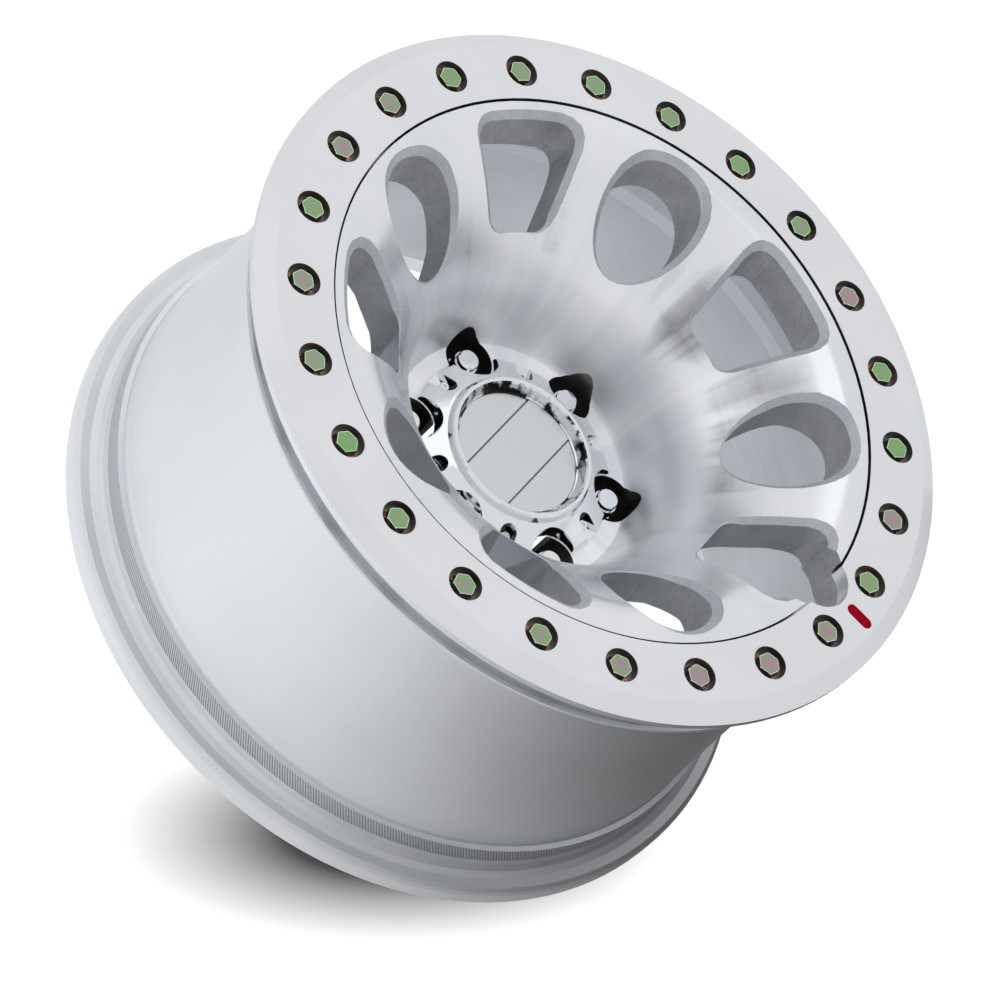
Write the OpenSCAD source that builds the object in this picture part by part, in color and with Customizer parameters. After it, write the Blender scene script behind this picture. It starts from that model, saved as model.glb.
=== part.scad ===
// Beadlock wheel, 17 x 9 inch, six lugs. Millimetres.
// The origin is the centre of the hub bore on the mounting face, +Z points outboard (the ring side is up)
// and the valve notch is on +X.

/* [Rim] */
// Radius of the inboard flange over its rim
flange_r = 235.6; // [233:0.1:239]
// Thickness of the inboard flange
flange_t = 15.3; // [12:0.1:17]
// Width between the ring seat and the inner face of the inboard flange
rim_width = 228.6; // [203.2:0.1:254]
// Wall thickness of the barrel at its middle
barrel_wall = 7; // [6:0.1:8.5]
// Height of the knurled band that grips the inboard bead
knurl_w = 13.5; // [8:0.5:16]

/* [Face] */
// Height of the ring seat above the mounting face
seat_z = 152.3; // [146:0.1:158]
// Height of the floor of the hub well above the mounting face
well_z = 44.6; // [40:0.1:48]
// Radius of the round windows at the chamfer's outer edge
round_r = 34.4; // [32:0.1:35]
// Half width of the wedge windows at their inner end
wedge_half = 22; // [20:0.1:23]
// Width of the chamfer round the windows
chamfer = 4.4; // [2:0.1:5]
// Radius of the notch for the valve
notch_r = 20.4; // [18:0.1:21]

/* [Ring] */
// Thickness of the beadlock ring
ring_t = 12; // [11:0.1:15]
// Number of ring bolts
ring_bolts_n = 24; // [18:2:28]
// Depth of the counterbores in the ring
cbore_depth = 7.7; // [7:0.1:8.2]

/* [Hub] */
// Radius of the hub bore
bore_r = 54; // [53.6:0.1:54.6]
// Radius of the circle that the lug holes stand on
lug_at = 69.85; // [69.6:0.05:70.1]
// Radius of the lug holes
lug_hole_r = 7.5; // [7.3:0.05:7.9]
// Radius of the socket pockets round the lugs
pocket_r = 16.2; // [15.9:0.1:16.6]
// Height of the cap over the floor of the hub well
cap_h = 17.1; // [16:0.1:19]

/* [Hidden] */
$fn = 96;

// Ring and barrel follow the flange
ring_or = flange_r - 1.4;
ring_bolt_r = ring_or - 29.6;
ring_ir = ring_or - 49.2;
seat_r = ring_or - 16.7;
barrel_r = flange_r - 24.6;

// Face side. The casting's own lip stands one below the ring face, inside the ring.
lip_r = ring_ir - 1.5;
lip_z = seat_z + ring_t - 1;
dish = lip_z - well_z;
// Radius of the floor of the hub well, round the lug circle
well_r = lug_at + 11.15;
// Radii on the face stretch between the well and the lip
face_k = (lip_r - well_r) / 102.5;
function fr(r) = well_r + (r - 81) * face_k;

// Points of the dished face: radius, stretched by fr(), and share of the dish depth
dish_pts = [[183.5, 1], [173.5, 1], [170.8, 0.998], [168.2, 0.991], [165.6, 0.982], [163, 0.972],
            [157, 0.945], [150, 0.897], [142, 0.843], [132, 0.765], [122, 0.675], [112, 0.577],
            [107.5, 0.532], [103, 0.484], [98, 0.424], [94, 0.358], [90.6, 0.276], [87.8, 0.18],
            [85.6, 0.09], [83.6, 0.03], [81, 0]];
face_pts = [for (p = dish_pts) [fr(p[0]), well_z + dish * p[1]]];
round_at = fr(144);
notch_at = fr(177.7);
notch_low = lip_z - 63.3;
// Distance from the notch centre, and half width as a share of the notch radius
notch_flare = [[-13.7, 1.35], [-3.7, 1.29], [0.3, 1.22], [3.8, 1.11], [6.8, 0.98], [9.3, 0.88]];

// Rim side
back_in_z = seat_z - rim_width;
back_z = back_in_z - flange_t;
knurl_r = flange_r - 17.3;
knurl_top = back_in_z + 10 + knurl_w;
inner_r = barrel_r - barrel_wall;

// Ring fasteners: M8 flange-less hex bolts on flat washers, in threaded inserts
washer_t = 1.6;
washer_r = 8.5;
bolt_r = 3.9;
bolt_af = 13;
bolt_head = 5.3;
insert_r = 6;
insert_l = 16;
thread_r = bolt_r + 0.08;
cbore_r = 10.87;
cbore_z = seat_z + ring_t - cbore_depth;
bolt_end = seat_z - 14;

// Hub
pocket_z = 16;
seat_cone_r = 10.5;
seat_cone_h = seat_cone_r - lug_hole_r;
hub_r = lug_at + 22.15;
cap_r = bore_r + 15;
screw_at = bore_r + 5.5;
screw_r = 2;
screw_end = well_z - 12;
nut_top = well_z + 0.6;

// Height of the dished face at a radius
function face_z(r, i = 0) =
  i >= len(face_pts) - 2 || r >= face_pts[i + 1][0]
    ? let (a = face_pts[i], b = face_pts[i + 1]) a[1] + (b[1] - a[1]) * (r - a[0]) / (b[0] - a[0])
    : face_z(r, i + 1);

function unit(v) = v / norm(v);
function polar(r, a) = r * [cos(a), sin(a)];

// Points of an arc that rounds the corner b between a and c
function corner(a, b, c, r, n) =
  let (u = unit(a - b), v = unit(c - b), h = acos(u * v) / 2)
  let (o = b + unit(u + v) * r / sin(h), s = b + u * r / tan(h) - o, e = b + v * r / tan(h) - o)
  let (a0 = atan2(s[1], s[0]), d0 = atan2(e[1], e[0]) - a0)
  let (d = d0 > 180 ? d0 - 360 : d0 < -180 ? d0 + 360 : d0)
  [for (k = [0 : n]) o + polar(r, a0 + d * k / n)];

// Outline p with a rounding radius at each point, none where it is 0
function rounded(p, rad, n) =
  let (m = len(p))
  [for (i = [0 : m - 1])
    each rad[i] == 0 ? [p[i]] : corner(p[(i + m - 1) % m], p[i], p[(i + 1) % m], rad[i], n)];

// Outward normals of an outline that runs anticlockwise
function normals(p) =
  let (m = len(p))
  [for (i = [0 : m - 1]) let (t = unit(p[(i + 1) % m] - p[(i + m - 1) % m])) [t[1], -t[0]]];

// Chamfer edges of the two kinds of window in plan, on the +X axis
window_or = fr(177.8);
wedge_in = fr(116.2);
wedge_rise = 0.43;
// Where the wedge's straight side meets the outer arc
wedge_c = wedge_half - wedge_rise * wedge_in;
wedge_x = (-wedge_rise * wedge_c
  + sqrt((1 + pow(wedge_rise, 2)) * pow(window_or, 2) - pow(wedge_c, 2))) / (1 + pow(wedge_rise, 2));
wedge_y = wedge_c + wedge_rise * wedge_x;
wedge_a = atan2(wedge_y, wedge_x) - 7;
side_steps = [0.2, 0.31, 0.42, 0.53, 0.64];
wedge_out = rounded(
  [[wedge_in, wedge_half], [wedge_in, -wedge_half],
   for (f = side_steps) [wedge_in + f * (wedge_x - wedge_in), -wedge_half - f * (wedge_y - wedge_half)],
   [wedge_x, -wedge_y],
   for (k = [-2 : 2]) polar(window_or, wedge_a * k / 2),
   [wedge_x, wedge_y],
   for (f = side_steps) let (g = f + 0.16)
     [wedge_x - g * (wedge_x - wedge_in), wedge_y - g * (wedge_y - wedge_half)]],
  [13, 13, 0, 0, 0, 0, 0, 16, 0, 0, 0, 0, 0, 16, 0, 0, 0, 0, 0], 4);
round_out = [for (i = [0 : 35]) [round_at, 0] + polar(round_r, 10 * i)];

// Width of the chamfer at a point with outward normal q: it runs out towards the hub
function chamfer_w(x, q) = chamfer * min(1, 1.32 + 1.07 * q * unit(x));

// Cutter for one window: its chamfer follows the dished face, its walls are drafted to the back
module window_cut(p) {
  n = len(p);
  q = normals(p);
  over = 3;
  draft = 2;
  low = well_z - 20;
  top = [for (i = [0 : n - 1]) let (x = p[i] + q[i] * over) [x[0], x[1], lip_z + 20]];
  edge = [for (i = [0 : n - 1])
    let (x = p[i] + q[i] * over) [x[0], x[1], face_z(norm(x)) + over]];
  wall = [for (i = [0 : n - 1])
    let (w = chamfer_w(p[i], q[i]), x = p[i] - q[i] * w) [x[0], x[1], face_z(norm(x)) - w]];
  foot = [for (i = [0 : n - 1])
    let (x = p[i] - q[i] * (chamfer_w(p[i], q[i]) + draft)) [x[0], x[1], low]];
  polyhedron(
    concat(top, edge, wall, foot),
    concat(
      [[for (i = [n - 1 : -1 : 0]) i]],
      [for (k = [0 : 2], i = [0 : n - 1]) let (j = (i + 1) % n)
        each [[k * n + i, (k + 1) * n + j, (k + 1) * n + i], [k * n + i, k * n + j, (k + 1) * n + j]]],
      [[for (i = [0 : n - 1]) 3 * n + i]]),
    convexity = 4);
}

// Section of the casting: dished face, hub, disc back, barrel and inboard flange
module wheel_section() {
  disc_t = 33;
  hub_back_z = face_z(hub_r + 20) - 38;
  polygon(concat(
    face_pts,
    [[bore_r, well_z], [bore_r, 0], [hub_r, 0], [hub_r + 6, 0.27 * hub_back_z],
     [hub_r + 12, 0.67 * hub_back_z], [hub_r + 20, hub_back_z],
     for (r = [128, 150, 173]) [fr(r), face_z(fr(r)) - disc_t],
     [inner_r - 8, lip_z - 34.3], [inner_r - 4, lip_z - 40.3], [inner_r - 4, lip_z - 71.3],
     [inner_r, lip_z - 86.3], [inner_r, knurl_top + 8], [inner_r + 4, back_in_z + 16],
     [flange_r - 14.6, back_z + 2], [flange_r - 12.6, back_z],
     [flange_r - 2.2, back_z], [flange_r - 0.6, back_z + 0.6], [flange_r, back_z + 2.2],
     [flange_r, back_in_z - 4], [flange_r - 1, back_in_z - 1.4],
     [flange_r - 3.5, back_in_z], [flange_r - 9.6, back_in_z], [flange_r - 14.1, back_in_z + 1.5],
     [flange_r - 16.6, back_in_z + 5], [knurl_r, back_in_z + 10], [knurl_r, knurl_top],
     [barrel_r + 4, knurl_top + 0.5], [barrel_r + 3, knurl_top + 6], [barrel_r, seat_z - 92.3],
     [barrel_r, seat_z - 38], [barrel_r + 1.5, seat_z - 32], [barrel_r + 5, seat_z - 27],
     [barrel_r + 10, seat_z - 23.5], [seat_r + 7.5, seat_z - 22.4], [seat_r + 8.9, seat_z - 21.2],
     [seat_r + 9.1, seat_z - 20], [seat_r + 8.5, seat_z - 18.8], [seat_r + 6.5, seat_z - 18],
     [seat_r + 1.5, seat_z - 17.6],
     [seat_r, seat_z - 16], [seat_r, seat_z], [lip_r, seat_z]]));
}

module wheel_body() {
  color([0.74, 0.76, 0.78]) difference() {
    rotate_extrude($fn = 180) wheel_section();
    // five wedge windows and five round windows
    for (k = [0 : 4]) {
      rotate(72 * k) window_cut(wedge_out);
      rotate(72 * k + 36) window_cut(round_out);
    }
    // valve notch and the valve hole through the barrel
    translate([notch_at, 0, notch_low]) cylinder(r = notch_r, h = 80);
    // the notch flares towards the window
    translate([notch_at, 0, notch_low]) linear_extrude(80) polygon([
      for (p = notch_flare) [p[0], -p[1] * notch_r],
      for (i = [len(notch_flare) - 1 : -1 : 0]) [notch_flare[i][0], notch_flare[i][1] * notch_r]]);
    translate([inner_r - 12, 0, seat_z - 51.3]) rotate([0, 80, 0]) cylinder(r = 5.75, h = 40);
    // seats for the ring inserts
    for (k = [0 : ring_bolts_n - 1]) rotate((k + 0.5) * 360 / ring_bolts_n) {
      translate([ring_bolt_r, 0, seat_z - 0.3 - insert_l]) cylinder(r = insert_r + 0.05, h = 30);
      translate([ring_bolt_r, 0, seat_z - 20]) cylinder(r = 4.3, h = 10);
    }
    // lug pockets, cone seats and lug holes
    for (k = [0 : 5]) rotate(60 * k + 30) translate([lug_at, 0, 0]) {
      translate([0, 0, pocket_z]) cylinder(r = pocket_r, h = 90);
      translate([0, 0, pocket_z - seat_cone_h])
        cylinder(r1 = lug_hole_r, r2 = seat_cone_r, h = seat_cone_h);
      translate([0, 0, -1]) cylinder(r = lug_hole_r, h = pocket_z);
    }
    // holes for the cap screws, and shallow pockets in the mounting face between the lugs
    for (k = [0 : 5]) rotate(60 * k) {
      translate([screw_at, 0, screw_end - 2]) cylinder(r = screw_r + 0.05, h = 30);
      translate([lug_at + 4.15, 0, -1]) cylinder(r = 10, h = 9);
    }
  }
}

module beadlock_ring() {
  color([0.86, 0.88, 0.9]) difference() {
    rotate_extrude($fn = 180) polygon([
      [ring_ir, seat_z], [ring_or - 1, seat_z], [ring_or, seat_z + 1],
      [ring_or, seat_z + ring_t - 7], [ring_or - 11.2, seat_z + ring_t],
      [ring_ir, seat_z + ring_t]]);
    for (k = [0 : ring_bolts_n - 1]) rotate((k + 0.5) * 360 / ring_bolts_n) {
      translate([ring_bolt_r, 0, cbore_z]) cylinder(r = cbore_r, h = 20);
      translate([ring_bolt_r, 0, seat_z - 1]) cylinder(r = 4.5, h = 20);
    }
    translate([notch_at, 0, seat_z - 1]) cylinder(r = notch_r, h = 30);
    // capsule mark, a shallow milled slot on the valve side
    translate([0, 0, seat_z + ring_t - 0.6]) linear_extrude(2) {
      translate([ring_bolt_r + 1.6, -3.9]) square([10.8, 7.8]);
      for (d = [1.6, 12.4]) translate([ring_bolt_r + d, 0]) circle(r = 3.9);
    }
  }
}

module ring_bolts() {
  color([0.55, 0.58, 0.5])
    for (k = [0 : ring_bolts_n - 1]) rotate((k + 0.5) * 360 / ring_bolts_n)
      translate([ring_bolt_r, 0, cbore_z + washer_t]) rotate(k * 37) {
        intersection() {
          cylinder(d = bolt_af / cos(30), h = bolt_head, $fn = 6);
          cylinder(r1 = bolt_af / 2 + 6, r2 = bolt_af / 2 + 0.6, h = bolt_head);
        }
        translate([0, 0, bolt_end - cbore_z - washer_t])
          cylinder(r = bolt_r, h = cbore_z + washer_t - bolt_end + 1);
      }
}

module ring_washers() {
  color([0.6, 0.62, 0.58])
    for (k = [0 : ring_bolts_n - 1]) rotate((k + 0.5) * 360 / ring_bolts_n)
      translate([ring_bolt_r, 0, cbore_z]) difference() {
        cylinder(r = washer_r, h = washer_t);
        translate([0, 0, -1]) cylinder(r = 4.2, h = washer_t + 2);
      }
}

module ring_inserts() {
  color([0.45, 0.45, 0.47])
    for (k = [0 : ring_bolts_n - 1]) rotate((k + 0.5) * 360 / ring_bolts_n)
      translate([ring_bolt_r, 0, seat_z - 0.3 - insert_l]) difference() {
        cylinder(r = insert_r, h = insert_l);
        translate([0, 0, -1]) cylinder(r = thread_r, h = insert_l + 2);
      }
}

// Cap over the hub bore: a thin bevelled rim, a conical skirt and a raised bezel
module hub_cap() {
  z = well_z;
  b = bore_r;
  shelf = cap_h - 10;
  color([0.82, 0.84, 0.86]) difference() {
    rotate_extrude($fn = 180) polygon([
      [0, z + shelf - 2.4], [b - 4, z + shelf - 2.4], [b - 4, z], [cap_r, z], [cap_r, z + 3.2],
      [cap_r - 1.5, z + 5], [b - 2, z + cap_h - 4.8], [b - 3.6, z + cap_h - 4.2],
      [b - 5.2, z + cap_h - 1], [b - 6.2, z + cap_h], [b - 8.4, z + cap_h], [b - 9.4, z + cap_h - 1],
      [b - 12, z + cap_h - 6.4], [b - 12.8, z + cap_h - 6.8], [b - 12.8, z + shelf], [0, z + shelf]]);
    for (k = [0 : 5]) {
      rotate(60 * k + 30) translate([lug_at, 0, z - 1]) cylinder(r = pocket_r + 0.6, h = 40);
      // open slot for one screw, and its hole
      rotate(60 * k) {
        translate([screw_at, 0, z + 3]) cylinder(r = 5.5, h = 30);
        translate([screw_at, -5.5, z + 3]) cube([20, 11, 30]);
        translate([screw_at, 0, z - 1]) cylinder(r = screw_r + 0.3, h = 10);
      }
    }
  }
}

// Bare disc in the bezel: a raised band across it between two straight grooves
module cap_badge() {
  z = well_z + cap_h - 10;
  color([0.7, 0.72, 0.74]) difference() {
    union() {
      translate([0, 0, z]) cylinder(r = bore_r - 13, h = 2.3, $fn = 120);
      intersection() {
        translate([0, 0, z]) cylinder(r = bore_r - 13, h = 2.9, $fn = 120);
        translate([-17, -50, z]) cube([34, 100, 5]);
      }
    }
    for (s = [-1, 1]) translate([s * 17.5 - 0.6, -50, z + 1.7]) cube([1.2, 100, 2]);
  }
}

module cap_screws() {
  color([0.6, 0.62, 0.64])
    for (k = [0 : 5]) rotate(60 * k) translate([screw_at, 0, well_z + 3]) difference() {
      union() {
        cylinder(r = 3.5, h = 1.8);
        translate([0, 0, 1.8]) cylinder(r1 = 3.5, r2 = 2.6, h = 0.9);
        translate([0, 0, screw_end - well_z - 3]) cylinder(r = screw_r - 0.05, h = 15.5);
      }
      translate([0, 0, 1]) cylinder(r = 1.45, h = 5, $fn = 6);
    }
}

// Closed-end spline-drive nuts, resting on their cone seats
module lug_nuts() {
  base = pocket_z - seat_cone_h + 0.4;
  color([0.82, 0.84, 0.86])
    for (k = [0 : 5]) rotate(60 * k + 30) translate([lug_at, 0, 0]) difference() {
      union() {
        translate([0, 0, base]) cylinder(r1 = lug_hole_r + 0.4, r2 = seat_cone_r - 0.2, h = 2.4);
        translate([0, 0, base + 2.4]) cylinder(r = 9.6, h = 4);
        translate([0, 0, base + 6.4]) cylinder(r = 8.6, h = nut_top - base - 15.4);
        for (i = [0 : 6]) rotate(i * 360 / 7) translate([8, 0, base + 6.4])
          cylinder(r = 1.5, h = nut_top - base - 15.9, $fn = 24);
        translate([0, 0, nut_top - 9]) cylinder(r1 = 8.6, r2 = 8, h = 4.7);
        translate([0, 0, nut_top - 4.3]) cylinder(r = 7.2, h = 3.6);
        translate([0, 0, nut_top - 0.7]) cylinder(r1 = 7.2, r2 = 6.4, h = 0.7);
      }
      translate([0, 0, base - 1]) cylinder(r = 6.9, h = nut_top - 7 - base);
    }
}

wheel_body();
beadlock_ring();
ring_bolts();
ring_washers();
ring_inserts();
hub_cap();
cap_badge();
cap_screws();
lug_nuts();
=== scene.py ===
import bpy, math
import numpy as np
from mathutils import Matrix, Vector


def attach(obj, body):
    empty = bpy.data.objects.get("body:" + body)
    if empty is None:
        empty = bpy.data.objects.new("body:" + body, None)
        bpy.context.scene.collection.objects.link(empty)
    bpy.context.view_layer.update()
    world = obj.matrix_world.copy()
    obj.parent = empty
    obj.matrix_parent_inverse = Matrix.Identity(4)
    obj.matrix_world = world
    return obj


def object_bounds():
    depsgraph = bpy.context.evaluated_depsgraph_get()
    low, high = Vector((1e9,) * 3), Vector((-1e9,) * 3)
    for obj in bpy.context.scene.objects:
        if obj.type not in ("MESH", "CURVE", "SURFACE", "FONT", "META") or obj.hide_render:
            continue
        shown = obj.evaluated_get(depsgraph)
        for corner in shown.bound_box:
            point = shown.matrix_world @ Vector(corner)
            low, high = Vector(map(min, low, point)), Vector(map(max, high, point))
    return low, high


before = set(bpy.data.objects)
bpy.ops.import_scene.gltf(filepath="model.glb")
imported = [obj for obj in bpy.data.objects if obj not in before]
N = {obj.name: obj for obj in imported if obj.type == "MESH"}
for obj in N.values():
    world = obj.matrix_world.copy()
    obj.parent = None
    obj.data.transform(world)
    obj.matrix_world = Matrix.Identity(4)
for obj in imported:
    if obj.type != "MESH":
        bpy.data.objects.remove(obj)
cad_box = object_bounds()

# ---------------------------------------------------------------- sizes of the part

# in millimetres, z upwards from the mounting face
SEAT = 152.3  # outboard bead seat, that the ring lies on
LIP = SEAT + 11  # outer edge of the dish
WELL = 44.6  # floor of the hub well
HUB_BORE_R = 54
LUG_R, LUG_FIRST = 69.85, 30  # circle of the lug pockets, and the turn of the first in degrees
POCKET_R = 16.2
SCREW_R, SCREW_HOLE_R = 59.5, 7  # circle of the cap screws, and the recess about each
KNURL_R, KNURL_LOW, KNURL_HIGH = 218.3, -66.5, -52
NOTCH_X, NOTCH_R = 177.7, 20.8  # valve notch of the ring
OPENING_R = 183.5  # where the dish ends and the ring begins
BEVEL_R = 222.5  # inner edge of the ring's bevel
BEZEL_R = 47
WELL_FOOT_R = 84  # the well has its floor inside this radius and its wall outside
BORE_TOP = 46
HUB_FOOT_R, HUB_FOOT_TOP = 106, 20  # foot of the hub, behind the spokes
SPOKE_BACK_R = 170
BARREL_IN_R, BARREL_OUT_R = 199, 209  # a little inside the two sides of the barrel
LIP_FOOT, LIP_R = 126, 225  # the outboard lip lies over this level and outside this radius
FLANGE_TOP = -66
MARK_SLOT = (206.2, 217.0, 3.85)  # centres of the slot's two ends, and its half width
MARK_LOW, MARK_TOP = SEAT + 11.42, SEAT + 11.85  # on the slot's floor, under the ring's face
TO_MM, MM = 1000, 0.001

# the dish as radius and share of its depth
DISH = [(183.5, 1), (173.5, 1), (170.8, 0.998), (168.2, 0.991), (165.6, 0.982), (163, 0.972),
        (157, 0.945), (150, 0.897), (142, 0.843), (132, 0.765), (122, 0.675), (112, 0.577),
        (107.5, 0.532), (103, 0.484), (98, 0.424), (94, 0.358), (90.6, 0.276), (87.8, 0.18),
        (85.6, 0.09), (83.6, 0.03), (81, 0)]
DR = np.array([p[0] for p in DISH][::-1])
DZ = np.array([WELL + (LIP - WELL) * p[1] for p in DISH][::-1])

# in metres, for the materials
BADGE_TOP = 0.0540  # top of the badge outside its two grooves
BOLT_R = 0.2046  # circle of the ring bolts
BOLT_STEP = math.radians(15)
BOLT_FLAT = 0.0065  # from the axis of a ring bolt to a flat of its head

# ---------------------------------------------------------------- node helpers


class Mat:
    """A material with its Principled shader and a short way to add nodes."""

    def __init__(self, name, color, rough, metallic=1.0, **sockets):
        self.m = bpy.data.materials.new(name)
        self.m.use_nodes = True
        self.t = self.m.node_tree
        self.b = self.t.nodes["Principled BSDF"]
        self.b.inputs["Base Color"].default_value = (*color, 1)
        self.b.inputs["Roughness"].default_value = rough
        self.b.inputs["Metallic"].default_value = metallic
        for k, v in sockets.items():
            self.b.inputs[k.replace("_", " ")].default_value = v
        self.pos = self.node("ShaderNodeNewGeometry").outputs["Position"]

    def node(self, kind, **props):
        n = self.t.nodes.new(kind)
        for k, v in props.items():
            setattr(n, k, v)
        return n

    def link(self, a, b):
        self.t.links.new(a, b)

    def feed(self, values, inputs):
        """Sets each input to a number or links an output to it."""
        for v, i in zip(values, inputs):
            if isinstance(v, (int, float)):
                i.default_value = v
            else:
                self.link(v, i)

    def math(self, op, *values, clamp=False):
        n = self.node("ShaderNodeMath", operation=op, use_clamp=clamp)
        self.feed(values, n.inputs)
        return n.outputs[0]

    def add(self, a, b):
        return self.math("ADD", a, b)

    def less(self, a, b, clamp=False):
        return self.math("SUBTRACT", a, b, clamp=clamp)

    def times(self, a, b):
        return self.math("MULTIPLY", a, b)

    def length(self, a, b):
        return self.math("SQRT", self.add(self.times(a, a), self.times(b, b)))

    def xyz(self):
        n = self.node("ShaderNodeSeparateXYZ")
        self.link(self.pos, n.inputs[0])
        return n.outputs

    def radius(self):
        x, y, _ = self.xyz()
        return self.length(x, y)

    def angle(self):
        x, y, _ = self.xyz()
        return self.math("ARCTAN2", y, x)

    def outward(self):
        """The two parts of the direction from the axis."""
        x, y, _ = self.xyz()
        r = self.radius()
        return self.math("DIVIDE", x, r), self.math("DIVIDE", y, r)

    def vec(self, *values):
        n = self.node("ShaderNodeCombineXYZ")
        self.feed(values, n.inputs)
        return n.outputs[0]

    def noise(self, vector=None, scale=5.0, detail=2.0, rough=0.5):
        n = self.node("ShaderNodeTexNoise")
        self.feed((scale, detail, rough), [n.inputs[k] for k in ("Scale", "Detail", "Roughness")])
        self.link(vector or self.pos, n.inputs["Vector"])
        return n.outputs["Fac"]

    def radial_noise(self, around, along, third, detail, rough):
        """Noise that is long in one direction: scaled by the turn, then along a third measure."""
        ux, uy = self.outward()
        place = self.vec(self.times(ux, around), self.times(uy, around), self.times(third, along))
        return self.noise(place, 1.0, detail, rough)

    def ramp(self, fac, stops):
        n = self.node("ShaderNodeValToRGB")
        e = n.color_ramp.elements
        while len(e) < len(stops):
            e.new(0.5)
        for el, (p, c) in zip(e, stops):
            el.position = p
            el.color = (*c, 1)
        self.link(fac, n.inputs[0])
        return n.outputs[0]

    def by_turn(self, table):
        """Value that a table of degrees and values gives for the direction from the axis."""
        turn = self.span(self.angle(), -math.pi, math.pi, 0.0, 1.0)
        return self.ramp(turn, [((a + 180) / 360, (v, v, v)) for a, v in table])

    def span(self, v, a, b, lo, hi):
        n = self.node("ShaderNodeMapRange")
        keys = ("Value", "From Min", "From Max", "To Min", "To Max")
        self.feed((v, a, b, lo, hi), [n.inputs[k] for k in keys])
        return n.outputs[0]

    def color(self, fac, *stops):
        """Base colour along a factor."""
        self.link(self.ramp(fac, stops), self.b.inputs["Base Color"])

    def bump(self, height, strength, distance):
        n = self.node("ShaderNodeBump")
        keys = ("Strength", "Distance", "Height")
        self.feed((strength, distance, height), [n.inputs[k] for k in keys])
        self.link(n.outputs[0], self.b.inputs["Normal"])

    def turned(self, amount):
        """Highlights stretched across the turning grooves about the wheel axis."""
        n = self.node("ShaderNodeTangent", direction_type="RADIAL", axis="Z")
        self.link(n.outputs[0], self.b.inputs["Tangent"])
        self.b.inputs["Anisotropic"].default_value = amount


def lin(*rgb):
    """8-bit sRGB colour to linear."""
    part = [c / 255 for c in rgb]
    return tuple(c / 12.92 if c <= 0.04045 else ((c + 0.055) / 1.055) ** 2.4 for c in part)


# ---------------------------------------------------------------- materials

# darkness of the one broad soft painted reflection, a dark streak on the machined face, by
# direction from the axis
FACE_PAINTED_REFLECTION = ((0, 0.0), (28, 0.0), (46, 0.24), (68, 0.2), (79, 0.34), (84, 0.34), (91, 0.0))
STEEP, OPEN = 0.094, 0.112  # radii between which the wall of the well turns into the dish


def turned_metal(name, a, b, rough, aniso=0.0, groove=0.0, pitch=1560.0):
    """Machined aluminium: fine rings about the axis and soft clouds."""
    m, rings, cloud = turned_base(name, a, rough, aniso, pitch)
    m.color(m.add(m.times(rings, 0.35), m.times(cloud, 0.65)), (0.35, a), (0.65, b))
    m.link(m.span(cloud, 0.3, 0.7, rough - 0.03, rough + 0.04), m.b.inputs["Roughness"])
    if groove:
        m.bump(rings, groove, 0.0003)
    return m.m


def turned_base(name, color, rough, aniso, pitch=1560.0):
    """Material with the two noises of machined metal: rings about the axis, and clouds."""
    m = Mat(name, color, rough)
    place = m.vec(m.times(m.radius(), pitch), m.times(m.angle(), 0.6), m.times(m.xyz()[2], pitch))
    rings = m.noise(place, 1.0, 3.0, 0.6)
    cloud = m.noise(None, 14.0, 3.0)
    if aniso:
        m.turned(aniso)
    return m, rings, cloud


def face_metal(name, a, b, bright, rough, aniso, painted_streak):
    """The dish: painted reflections as dark bands that run from the hub outwards, strongest on the
    steep wall of the well.
    """
    m, rings, cloud = turned_base(name, a, rough, aniso)
    r = m.radius()
    mix = m.add(m.add(m.times(rings, 0.1), m.times(cloud, 0.65)), 0.12)
    bands = m.radial_noise(3.1, 4.0, r, 2.0, 0.55)
    fine = m.radial_noise(13.0, 9.0, r, 2.0, 0.5)
    both = m.add(m.times(bands, 0.68), m.times(fine, 0.32))
    deep = m.span(r, 0.096, 0.15, 1.0, 0.45)
    # painted reflections: the bands darken the colour, most near the well
    dark = m.times(m.span(both, 0.42, 0.62, 1.0, 0.0), m.times(deep, painted_streak))
    # painted light lifts the steep wall towards bright metal, and one broad soft painted dark
    # reflection crosses the spoke beside it
    mix = m.add(m.less(mix, dark), m.span(r, STEEP, OPEN, 0.5, 0.0))
    mix = m.less(mix, m.times(m.by_turn(FACE_PAINTED_REFLECTION), m.span(r, 0.13, 0.16, 1.0, 0.0)))
    m.color(mix, (0.0, tuple(0.4 * c for c in a)), (0.3, a), (0.62, b), (1.0, bright))
    # it is cut more coarsely too, so the lug pockets hardly mirror in it
    haze = m.span(cloud, 0.3, 0.7, rough - 0.03, rough + 0.04)
    m.link(m.add(haze, m.span(r, STEEP, OPEN, 0.22, 0.0)), m.b.inputs["Roughness"])
    return m.m


def blasted(name, a, b, rough, grain):
    """Shot-blasted casting skin."""
    m = Mat(name, a, rough)
    g = m.noise(None, 900.0, 2.0, 0.6)
    patch = m.noise(None, 60.0, 4.0, 0.6)
    m.color(m.add(m.times(g, 0.55), m.times(patch, 0.45)), (0.36, a), (0.64, b))
    m.bump(g, grain, 0.0006)
    return m.m


def knurl_material():
    """Slanting knurl: dark grooves that climb at 30 degrees off the axis."""
    m = Mat("knurl", lin(206, 209, 214), 0.38)
    # millimetres round the band, shifted by 564 for each metre of height
    turn = m.add(m.times(m.angle(), KNURL_R), m.times(m.xyz()[2], 564.0))
    wave = m.math("SINE", m.times(turn, 3.24))
    m.color(m.span(wave, -1, 1, 0, 1), (0.2, lin(150, 152, 156)), (0.5, lin(216, 219, 223)))
    m.bump(wave, 0.5, 0.0004)
    return m.m


def chrome_material():
    m = Mat("chrome", lin(226, 229, 232), 0.07)
    m.link(m.span(m.noise(None, 40.0), 0.3, 0.7, 0.05, 0.1), m.b.inputs["Roughness"])
    return m.m


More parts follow.
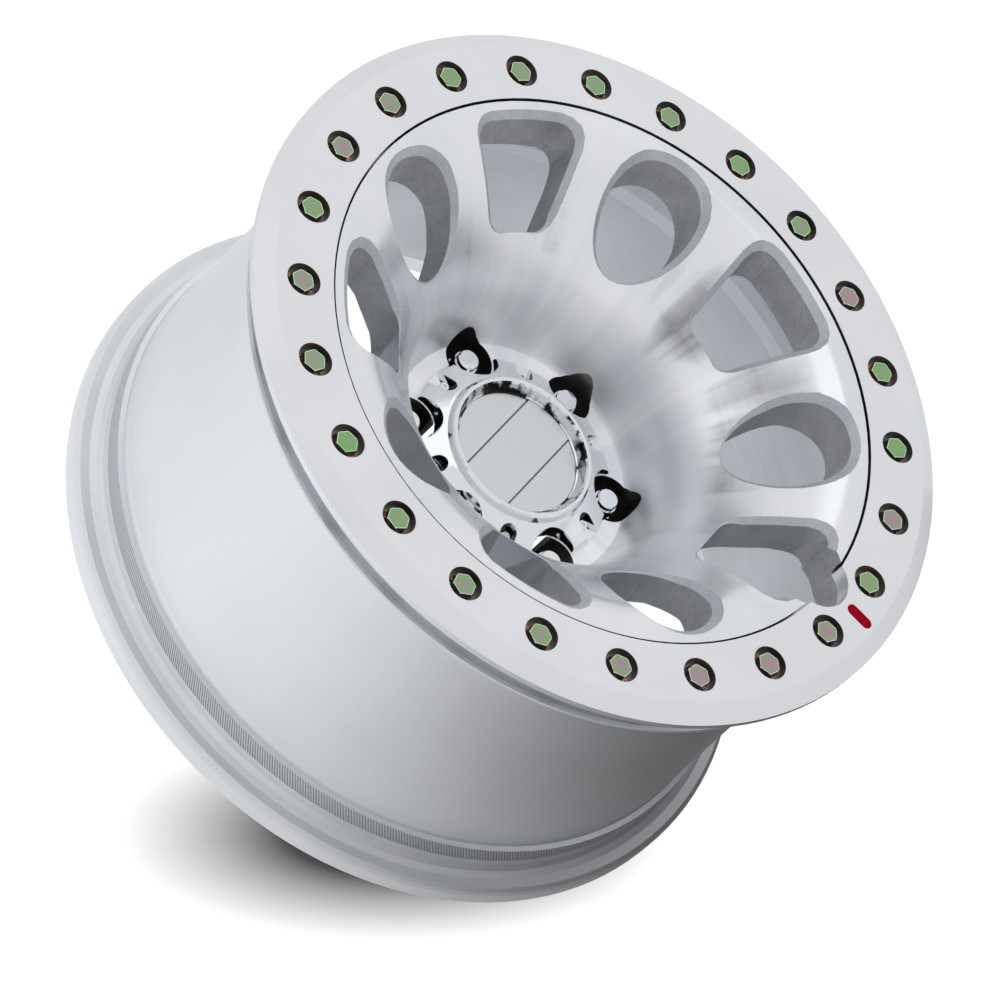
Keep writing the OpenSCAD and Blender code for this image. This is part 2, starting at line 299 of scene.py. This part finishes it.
def chrome_painted_streaks(name, dark, low, high):
    """Chrome of a steep wall, with painted dark reflections as streaks that run up it."""
    m = Mat(name, lin(216, 219, 222), 0.12)
    n = m.radial_noise(3.4, 90.0, m.xyz()[2], 3.0, 0.6)
    m.color(n, (low, dark), (high, lin(222, 225, 228)))
    return m.m


def badge_material():
    """Satin disc, with painted shade down in its two grooves."""
    m = Mat("badge", lin(214, 217, 220), 0.3)
    x, y, z = m.xyz()
    grain = m.noise(m.vec(m.times(x, 900.0), m.times(y, 30.0), 0.0), 1.0)
    # painted shade: faces below the badge's top are darkened
    low = m.math("LESS_THAN", z, BADGE_TOP - 0.0003)
    shade = m.less(m.times(grain, 0.3), m.times(low, 0.3), clamp=True)
    m.color(shade, (0.0, lin(110, 112, 116)), (0.08, lin(210, 213, 216)),
            (0.3, lin(219, 222, 225)))
    return m.m


def zinc_material():
    """Zinc plating whose tint shifts over each bolt head: green, with grey and rose inside."""
    m = Mat("iridescent_zinc", lin(150, 160, 140), 0.3)
    index = m.math("FLOOR", m.math("DIVIDE", m.angle(), BOLT_STEP))
    chance = m.node("ShaderNodeTexWhiteNoise", noise_dimensions="1D")
    m.link(index, chance.inputs["W"])
    # distance from the bolt's own axis, which stands in the middle of its sector
    mid = m.times(m.add(index, 0.5), BOLT_STEP)
    dx = m.less(m.xyz()[0], m.times(m.math("COSINE", mid), BOLT_R))
    dy = m.less(m.xyz()[1], m.times(m.math("SINE", mid), BOLT_R))
    d = m.length(dx, dy)
    speck = m.less(m.noise(None, 1300.0, 4.0, 0.7), 0.5)
    shift = m.times(m.less(chance.outputs["Value"], 0.24), 0.5)
    fac = m.add(m.add(m.times(d, 60.0), m.times(speck, 3.6)), shift)
    rose, rose_rim = lin(190, 132, 166), lin(186, 138, 168)
    grey, grey_rim = lin(154, 154, 158), lin(150, 152, 152)
    green, green_rim = lin(130, 182, 112), lin(118, 174, 98)
    tint = m.ramp(fac, [(0.0, rose), (0.1, rose_rim), (0.14, grey), (0.3, grey_rim),
                        (0.34, green), (1.0, green_rim)])
    # painted highlight: a pale edge along the six flats, whose turn differs from bolt to bolt
    number = m.add(index, m.times(m.math("LESS_THAN", index, 0.0), 24.0))
    turn = m.less(m.math("ARCTAN2", dy, dx), m.add(mid, m.times(number, math.radians(37))))
    off = m.less(m.math("FLOORED_MODULO", turn, math.radians(60)), math.radians(30))
    flat = m.add(m.times(d, m.math("COSINE", off)), m.times(speck, 0.001))
    mix = m.node("ShaderNodeMix", data_type="RGBA")
    m.link(m.math("GREATER_THAN", flat, BOLT_FLAT - 0.00042), mix.inputs["Factor"])
    m.link(tint, mix.inputs[6])
    mix.inputs[7].default_value = (*lin(222, 226, 220), 1)
    m.link(mix.outputs[2], m.b.inputs["Base Color"])
    return m.m


def washer_material():
    """Zinc coloured dark as painted shade under the bolt heads, with painted brassy glints."""
    m = Mat("zinc_painted_shade_and_glints", lin(40, 38, 36), 0.35)
    m.color(m.noise(None, 420.0, 3.0, 0.7), (0.4, lin(40, 37, 35)), (0.52, lin(84, 74, 66)),
            (0.6, lin(226, 160, 104)))
    return m.m


def enamel_material():
    m = Mat("red_enamel", lin(142, 10, 26), 0.6, 0.0, Specular_IOR_Level=0.0)
    m.color(m.noise(None, 300.0), (0.3, lin(138, 8, 24)), (0.7, lin(148, 12, 30)))
    return m.m


face = face_metal("turned_face_painted_reflections", lin(224, 227, 231), lin(234, 236, 240), lin(249, 250, 251),
                  0.27, 0.3, 0.34)
ring = turned_metal("turned_ring", lin(224, 226, 230), lin(229, 231, 234), 0.32, 0.2)
ring_edge = turned_metal("turned_ring_edge", lin(222, 224, 228), lin(229, 231, 234), 0.38)
barrel = turned_metal("satin_barrel", lin(222, 225, 229), lin(229, 232, 236), 0.46, 0.4)
flange = turned_metal("turned_flange", lin(220, 223, 227), lin(231, 233, 236), 0.55)
inner = turned_metal("brushed_inner_barrel", lin(184, 188, 194), lin(205, 209, 215),
                     0.5, 0.3, groove=0.03)
wall = blasted("blasted_wall", lin(168, 170, 174), lin(196, 198, 202), 0.66, 0.35)
chamfer = blasted("blasted_chamfer", lin(184, 187, 193), lin(204, 207, 212), 0.7, 0.1)
# painted shade: the lug pockets are coloured dark for the shade deep in them
pocket_shade = turned_metal("pocket_painted_shade", lin(84, 80, 79), lin(140, 136, 134), 0.34, pitch=3000.0)
# painted shade: the narrow gap between ring and dish is coloured dark for the shade down in it
gap_shade = turned_metal("gap_shade", lin(84, 82, 80), lin(118, 116, 114), 0.5)
# painted shade: counterbores and other hidden faces of the ring, and the sides of the bolt heads,
# are coloured dark
bore_shade = turned_metal("counterbore_painted_shade", lin(138, 136, 134), lin(168, 166, 164), 0.4)
knurl = knurl_material()
chrome = chrome_material()
# painted reflections on the bezel's inner wall; the screw recesses are darker still as painted
# shade
bezel_painted_reflections = chrome_painted_streaks("bezel_painted_reflections", lin(34, 32, 31), 0.44, 0.52)
recess = chrome_painted_streaks("screw_recess_painted_shade", lin(24, 22, 21), 0.52, 0.64)
badge = badge_material()
zinc = zinc_material()
washer_shade = washer_material()
enamel = enamel_material()
# painted highlight: the chamfers of the bolt heads are pale
bolt_edge_highlight = turned_metal("zinc_edge_painted_highlight", lin(214, 216, 212), lin(228, 230, 226), 0.3)
steel = turned_metal("insert_steel", lin(90, 90, 94), lin(120, 120, 124), 0.4)

# ---------------------------------------------------------------- finishes on the CAD nodes


def per_face(me, what, wide=1, kind=np.float32):
    """One property of all faces of a mesh as an array."""
    out = np.zeros(len(me.polygons) * wide, kind)
    me.polygons.foreach_get(what, out)
    return out.reshape(-1, wide) if wide > 1 else out


def paint(name, mats, pick):
    """Gives each face of a CAD node the finish that pick names from its middle and its normal."""
    o = N[name]
    me = o.data
    me.materials.clear()
    keys = list(mats)
    for k in keys:
        me.materials.append(mats[k])
    c = per_face(me, "center", 3).astype(float) * TO_MM
    q = per_face(me, "normal", 3).astype(float)
    r = np.hypot(c[:, 0], c[:, 1])
    er = c[:, :2] / np.maximum(r, 1e-6)[:, None]
    nr = (q[:, :2] * er).sum(1)
    nt = q[:, 1] * er[:, 0] - q[:, 0] * er[:, 1]
    names = pick(c, r, q[:, 2], nr, nt)
    me.polygons.foreach_set("material_index", np.array([keys.index(k) for k in names], np.int32))
    me.update()
    return o


def near_hole(c, radius, first, reach):
    """Distance of each face from the nearest of six axes on a circle, and whether it is near."""
    d = np.full(len(c), np.inf)
    for k in range(6):
        a = math.radians(60 * k + first)
        d = np.minimum(d, np.hypot(c[:, 0] - radius * math.cos(a), c[:, 1] - radius * math.sin(a)))
    return d, d < reach


def pick_body(c, r, nz, nr, nt):
    z = c[:, 2]
    out = np.full(len(r), "wall", object)
    axial = np.abs(nt) < 0.06  # faces of a form turned about the axis
    out[(nz > 0.25) & (r > 100) & (r < BARREL_IN_R)] = "chamfer"
    # on the dish the normal follows from the slope of the band that the face lies on
    off = np.abs(z - np.interp(r, DR, DZ))
    band = np.clip(np.searchsorted(DR, r) - 1, 0, len(DR) - 2)
    tilt = np.sin(np.arctan2(-np.diff(DZ), np.diff(DR)))
    beside = [np.clip(band + k, 0, len(tilt) - 1) for k in (-1, 0, 1)]
    near = np.min([np.abs(nr - tilt[b]) for b in beside], axis=0)
    out[axial & (near < 0.05) & (off < 1.2) & (r > 80) & (nz > 0.1)] = "face"
    out[(r < WELL_FOOT_R) & (nz > 0.9) & (np.abs(z - WELL) < 0.5)] = "face"
    # lug pockets, the bore and the back of the hub and the spokes
    d, close = near_hole(c, LUG_R, LUG_FIRST, POCKET_R + 0.9)
    out[close & ((np.abs(nz) < 0.1) | ((z < WELL - 1) & (d < POCKET_R + 0.4)))] = "pocket_shade"
    out[(np.abs(r - HUB_BORE_R) < 1.2) & (z < BORE_TOP)] = "inner"
    out[(nz < -0.3) & ((r > 60) | (z < 1))] = "inner"
    out[(r > WELL_FOOT_R) & (r < HUB_FOOT_R) & (z < HUB_FOOT_TOP)] = "inner"
    low = axial & (z < LIP_FOOT)
    out[low & (nr > 0.2) & (r > WELL_FOOT_R) & (r < SPOKE_BACK_R)] = "inner"
    # the barrel, from the inside to the outside
    out[low & (nr < -0.2) & (r > BARREL_IN_R)] = "inner"
    outside = axial & (r > BARREL_OUT_R) & (z < SEAT)
    out[outside] = "barrel"
    out[outside & (r > LIP_R) & (z > LIP_FOOT)] = "lip"
    out[outside & (z < FLANGE_TOP)] = "flange"
    out[outside & (np.abs(r - KNURL_R) < 0.5) & (z > KNURL_LOW) & (z < KNURL_HIGH)] = "knurl"
    out[axial & (nr > 0.9) & (np.abs(r - OPENING_R) < 0.5)] = "gap"
    out[axial & (nz > 0.9) & (np.abs(z - SEAT) < 0.3)] = "barrel"
    return out


def pick_ring(c, r, nz, nr, nt):
    # faces of the ring other than its face and edges get the counterbore's painted shade
    out = np.full(len(r), "dark", object)
    axial = np.abs(nt) < 0.03
    out[nz > 0.9] = "ring"
    out[(nz > 0.9) & (c[:, 2] < SEAT + 6)] = "dark"
    out[axial & (r > BEVEL_R)] = "edge"
    out[(np.hypot(c[:, 0] - NOTCH_X, c[:, 1]) < NOTCH_R) & (np.abs(nz) < 0.1)] = "edge"
    out[axial & (nr < -0.9) & (r < 186)] = "gap"
    return out


def pick_cap(c, r, nz, nr, nt):
    out = np.full(len(r), "chrome", object)
    out[(r < BEZEL_R) & (nr < -0.25)] = "bezel"
    _, close = near_hole(c, SCREW_R, 0, SCREW_HOLE_R)
    out[close & (np.abs(nz) < 0.3)] = "recess"
    return out


def pick_bolt(c, r, nz, nr, nt):
    out = np.full(len(r), "side", object)
    out[nz > 0.95] = "plating"
    out[(nz > 0.2) & (nz < 0.95)] = "edge"
    return out


SAME_TURN = 0.77  # cosine of about 40 degrees
SPREAD = 14  # the most corners that are looked at on either side, in their sorted order
GRID = 50  # steps per millimetre, to tell which corners share a point


def mean_normals(flat, area, group):
    """Mean normal at each corner of the faces of its group that turn little from its own."""
    total = flat * np.sqrt(area)[:, None]
    weighted = total.copy()
    for step in range(-SPREAD, SPREAD + 1):
        lo, hi = max(0, -step), len(flat) - max(0, step)
        if step == 0 or lo >= hi:
            continue
        here, there = slice(lo, hi), slice(lo + step, hi + step)
        ok = (group[here] == group[there]) & ((flat[here] * flat[there]).sum(1) > SAME_TURN)
        total[here][ok] += weighted[there][ok]
    return total / np.maximum(np.linalg.norm(total, axis=1), 1e-9)[:, None]


def smooth_body(o, dish, cast):
    """Shades the dish as the one turned curve that it follows, and rounds the cast corners."""
    me = o.data
    n = len(me.loops)
    nor = np.zeros(n * 3, np.float32)
    me.corner_normals.foreach_get("vector", nor)
    nor = nor.reshape(-1, 3)
    vi = np.zeros(n, np.int32)
    me.loops.foreach_get("vertex_index", vi)
    co = np.zeros(len(me.vertices) * 3, np.float32)
    me.vertices.foreach_get("co", co)
    co = co.reshape(-1, 3)[vi] * TO_MM
    corners = per_face(me, "loop_total", kind=np.int32)
    own = np.repeat(per_face(me, "material_index", kind=np.int32), corners)
    # corners at the same point with the same finish stand together in the sorted order
    mine = np.flatnonzero(np.isin(own, cast))
    key = np.column_stack([np.round(co[mine] * GRID).astype(np.int64), own[mine]])
    _, group = np.unique(key, axis=0, return_inverse=True)
    order = np.argsort(group.ravel(), kind="stable")
    mine, group = mine[order], group.ravel()[order]
    flat = np.repeat(per_face(me, "normal", 3), corners, axis=0)[mine]
    area = np.repeat(per_face(me, "area"), corners)[mine]
    nor[mine] = mean_normals(flat, area, group)
    r = np.hypot(co[:, 0], co[:, 1])
    pick = (own == dish) & (r > 82.5)
    slope = np.interp(r, (DR[1:] + DR[:-1]) / 2, np.diff(DZ) / np.diff(DR))
    k = 1 / np.sqrt(1 + slope ** 2)
    smooth = np.stack([-slope * k * co[:, 0] / r, -slope * k * co[:, 1] / r, k], 1)
    nor[pick] = smooth[pick]
    me.polygons.foreach_set("use_smooth", np.ones(len(me.polygons), bool))
    me.normals_split_custom_set(nor.astype(float).tolist())


BODY = {"face": face, "wall": wall, "chamfer": chamfer, "pocket_shade": pocket_shade, "gap": gap_shade,
        "inner": inner, "barrel": barrel, "flange": flange, "knurl": knurl, "lip": ring_edge}
body = paint("wheel_body", BODY, pick_body)
slot_of = list(BODY).index
smooth_body(body, slot_of("face"), (slot_of("wall"), slot_of("chamfer")))
paint("beadlock_ring", {"ring": ring, "edge": ring_edge, "dark": bore_shade, "gap": gap_shade},
      pick_ring)
paint("hub_cap", {"chrome": chrome, "bezel": bezel_painted_reflections, "recess": recess}, pick_cap)
paint("ring_bolts", {"plating": zinc, "edge": bolt_edge_highlight, "side": bore_shade}, pick_bolt)
for node, mat in (("ring_washers", washer_shade), ("ring_inserts", steel),
                  ("cap_badge", badge), ("cap_screws", chrome), ("lug_nuts", chrome)):
    N[node].data.materials.clear()
    N[node].data.materials.append(mat)

# ---------------------------------------------------------------- meshes of the scene


def mesh_object(name, verts, faces):
    me = bpy.data.meshes.new(name)
    me.from_pydata(verts, [], faces)
    o = bpy.data.objects.new(name, me)
    bpy.context.scene.collection.objects.link(o)
    return o


def polar(radius, a, z):
    return (radius * math.cos(a), radius * math.sin(a), z)


def capsule(name, r0, r1, half, z0, z1, n=16):
    """Flat capsule along +X between two levels, in millimetres."""
    q = math.pi / 2
    pts = [(r1 + half * math.cos(t), half * math.sin(t)) for t in np.linspace(-q, q, n)]
    pts += [(r0 + half * math.cos(t), half * math.sin(t)) for t in np.linspace(q, 3 * q, n)]
    v = [(x * MM, y * MM, z * MM) for z in (z0, z1) for x, y in pts]
    k = len(pts)
    f = [list(range(k))[::-1], list(range(k, 2 * k))]
    f += [[i, (i + 1) % k, k + (i + 1) % k, k + i] for i in range(k)]
    return mesh_object(name, v, f)


# red mark in the ring's milled slot
mark = capsule("ring_mark", *MARK_SLOT, MARK_LOW, MARK_TOP)
mark.data.materials.append(enamel)
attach(mark, "root")

# ---------------------------------------------------------------- floor

FLOOR_Z = cad_box[0].z
FLOOR_GAP = 0.0002  # the floor's distance under the flange
FLOOR_HOLE, FLOOR_HALF = 0.2, 30.0
SHADE_AT = (0.112, -0.158)  # centre of the painted shadow, on the side of the wheel where it lies
SHADE_LONG, SHADE_WIDE = (5.4, 4.3), (14.0, -11.4)  # its two axes, each over its half length
SHADE_FROM, SHADE_TO = 0.55, 1.35
# what metal sees of the floor: a share by direction from the wheel, and more of it far away
GLOSS_TOP, GLOSS_FAR, GLOSS_AROUND = 1.15, 0.85, 0.8
GLOSS_TURN = ((-180, 0.8), (-120, 0.95), (-90, 0.82), (-60, 0.55), (-40, 0.36), (-20, 0.2),
              (-5, 0.1), (5, 0.1), (40, 0.6), (90, 0.78), (180, 0.8))
# the dark card: its radius, the turn of its two ends, its top, and its light by direction
CARD_R, CARD_ENDS, CARD_TOP = 0.3, (-78, 40), 0.17
CARD_TURN = ((-80, 0.78), (-60, 0.5), (-45, 0.3), (-30, 0.17), (-15, 0.1), (0, 0.06), (40, 0.06))


def light_path(t, *names):
    """1 for the kinds of ray that are named, 0 for the others."""
    lp = t.nodes.new("ShaderNodeLightPath")
    out = lp.outputs[names[0]]
    for n in names[1:]:
        mx = t.nodes.new("ShaderNodeMath")
        mx.operation = "MAXIMUM"
        t.links.new(out, mx.inputs[0])
        t.links.new(lp.outputs[n], mx.inputs[1])
        out = mx.outputs[0]
    return out


def emission(m, strength):
    n = m.node("ShaderNodeEmission")
    m.link(strength, n.inputs["Strength"])
    return n.outputs[0]


def mix_shader(m, fac, a, b):
    n = m.node("ShaderNodeMixShader")
    m.feed((fac, a, b), n.inputs)
    return n.outputs[0]


def ring_floor(name, hole, size, z):
    """Square floor with a round hole under the wheel: the backdrop shows in the windows."""
    n = 64
    v = []
    for i in range(n):
        a = 2 * math.pi * i / n
        v += [polar(hole, a, z), polar(size / max(abs(math.cos(a)), abs(math.sin(a))), a, z)]
    pairs = [(i, (i + 1) % n) for i in range(n)]
    return mesh_object(name, v, [[2 * i, 2 * i + 1, 2 * j + 1, 2 * j] for i, j in pairs])


def floor_material():
    # the floor's own colour is dark: it is the colour of the painted shadow, as the camera sees
    # white outside it
    m = Mat("floor", (0.08, 0.08, 0.08), 0.9, 0.0)
    m.color(m.noise(None, 3.0), (0.3, (0.077, 0.077, 0.077)), (0.7, (0.083, 0.083, 0.083)))
    x, y, _ = m.xyz()
    dx, dy = m.less(x, SHADE_AT[0]), m.less(y, SHADE_AT[1])
    along, wide = (m.add(m.times(dx, u), m.times(dy, v)) for u, v in (SHADE_LONG, SHADE_WIDE))
    # painted shadow: white for the camera outside the shadow zone, and inside it the floor's own
    # dark colour with its real shade
    white = m.span(m.length(along, wide), SHADE_FROM, SHADE_TO, 0.0, 1.0)
    eye = light_path(m.t, "Is Camera Ray", "Is Transmission Ray")
    plain = m.node("ShaderNodeAddShader")
    m.feed((m.b.outputs[0], emission(m, m.times(white, eye))), plain.inputs)
    # metal sees the floor bright on the left and dark at the lower right
    side = m.times(m.by_turn(GLOSS_TURN), GLOSS_TOP)
    side = m.math("MAXIMUM", side, m.span(y, 0.2, 0.45, 0.0, GLOSS_FAR))
    side = m.math("MAXIMUM", side, m.span(m.radius(), 0.38, 0.46, 0.0, GLOSS_AROUND))
    glossy = light_path(m.t, "Is Glossy Ray")
    m.link(mix_shader(m, glossy, plain.outputs[0], emission(m, side)),
           m.t.nodes["Material Output"].inputs["Surface"])
    return m.m


floor = ring_floor("floor", FLOOR_HOLE, FLOOR_HALF, FLOOR_Z - FLOOR_GAP)
floor.data.materials.append(floor_material())


def dark_card(name, radius, a0, a1, z0, z1, n=48):
    """Curved card beside the wheel that only metal sees; it darkens the flange's lower right."""
    turns = [math.radians(a0 + (a1 - a0) * i / n) for i in range(n + 1)]
    v = [polar(radius, a, z) for a in turns for z in (z0, z1)]
    o = mesh_object(name, v, [[2 * i, 2 * i + 2, 2 * i + 3, 2 * i + 1] for i in range(n)])
    m = Mat(name, (0.1, 0.1, 0.1), 0.9, 0.0)
    clear = m.node("ShaderNodeBsdfTransparent").outputs[0]
    top = m.span(m.xyz()[2], z1 - 0.05, z1, 0.0, 1.0)
    m.link(mix_shader(m, top, emission(m, m.by_turn(CARD_TURN)), clear),
           m.t.nodes["Material Output"].inputs["Surface"])
    o.data.materials.append(m.m)
    for kind in ("camera", "diffuse", "transmission", "volume_scatter", "shadow"):
        setattr(o, "visible_" + kind, False)
    return o


dark_card("dark_card", CARD_R, *CARD_ENDS, FLOOR_Z, CARD_TOP)

# ---------------------------------------------------------------- world and lamps

SKY_DIFFUSE = 0.95  # with the lamps, a diffuse surface gets a level of about 1
SKY_TOP, SKY_RIM, SKY_BELOW = 0.88, 0.4, 0.9  # what metal sees
SKY_STOPS = ((0.0, SKY_BELOW), (0.44, SKY_BELOW), (0.49, SKY_RIM), (0.52, SKY_RIM), (0.61, SKY_TOP))
KEY = ((-1.3, 0.91, 2.54), 2.0, 4.5)  # where the lamp stands, its side and its power
FILL = ((-2.2, -1.0, 0.9), 1.6, 2.5)

w = bpy.data.worlds.new("studio")
bpy.context.scene.world = w
w.use_nodes = True
wt = w.node_tree
bg = wt.nodes["Background"]
bg.inputs["Color"].default_value = (1, 1, 1, 1)
tc = wt.nodes.new("ShaderNodeTexCoord")
sep = wt.nodes.new("ShaderNodeSeparateXYZ")
wt.links.new(tc.outputs["Generated"], sep.inputs[0])
sky = wt.nodes.new("ShaderNodeValToRGB")
stops = sky.color_ramp.elements
for k, (p, v) in enumerate(SKY_STOPS):
    el = stops[k] if k < 2 else stops.new(p)
    el.position = p
    el.color = (v, v, v, 1)


def world_span(v, a, b):
    n = wt.nodes.new("ShaderNodeMapRange")
    n.inputs["From Min"].default_value = a
    n.inputs["From Max"].default_value = b
    wt.links.new(v, n.inputs["Value"])
    return n.outputs[0]


def choose(flag, off, on):
    n = wt.nodes.new("ShaderNodeMix")
    n.data_type = "FLOAT"
    wt.links.new(flag, n.inputs["Factor"])
    for k, v in (("A", off), ("B", on)):
        if isinstance(v, float):
            n.inputs[k].default_value = v
        else:
            wt.links.new(v, n.inputs[k])
    return n.outputs["Result"]


wt.links.new(world_span(sep.outputs["Z"], -1.0, 1.0), sky.inputs[0])
around = choose(world_span(sep.outputs["Y"], 0.2, 0.5), sky.outputs[0], SKY_TOP)
seen = choose(light_path(wt, "Is Glossy Ray"), SKY_DIFFUSE, around)
eye = light_path(wt, "Is Camera Ray", "Is Transmission Ray")
wt.links.new(choose(eye, seen, 1.0), bg.inputs["Strength"])


def lamp(name, loc, size, power):
    """Square area lamp that looks at the origin."""
    d = bpy.data.lights.new(name, "AREA")
    d.energy = power
    d.size = size
    o = bpy.data.objects.new(name, d)
    o.location = loc
    o.rotation_mode = "QUATERNION"
    o.rotation_quaternion = (-Vector(loc)).to_track_quat("-Z", "Y")
    bpy.context.scene.collection.objects.link(o)


lamp("key", *KEY)
lamp("fill", *FILL)

# ---------------------------------------------------------------- camera

# fitted to the photograph's view: the wheel lies flat, so the camera is turned instead
cam = bpy.data.objects.new("camera", bpy.data.cameras.new("camera"))
right = Vector((0.70738015, 0.50882205, 0.49062557))
up = Vector((-0.70627412, 0.53641744, 0.4619883))
back = Vector((-0.02811028, -0.6733175, 0.73881889))
place = Vector((-0.083374, -2.331163, 2.570355))
rows = zip(right, up, back, place)
cam.matrix_world = Matrix([*rows, (0, 0, 0, 1)])
cam.data.lens = 202.654
cam.data.sensor_width = 36
cam.data.clip_start = 0.05
cam.data.clip_end = 200
bpy.context.scene.collection.objects.link(cam)
bpy.context.scene.camera = cam
bpy.context.scene.view_settings.view_transform = "Standard"
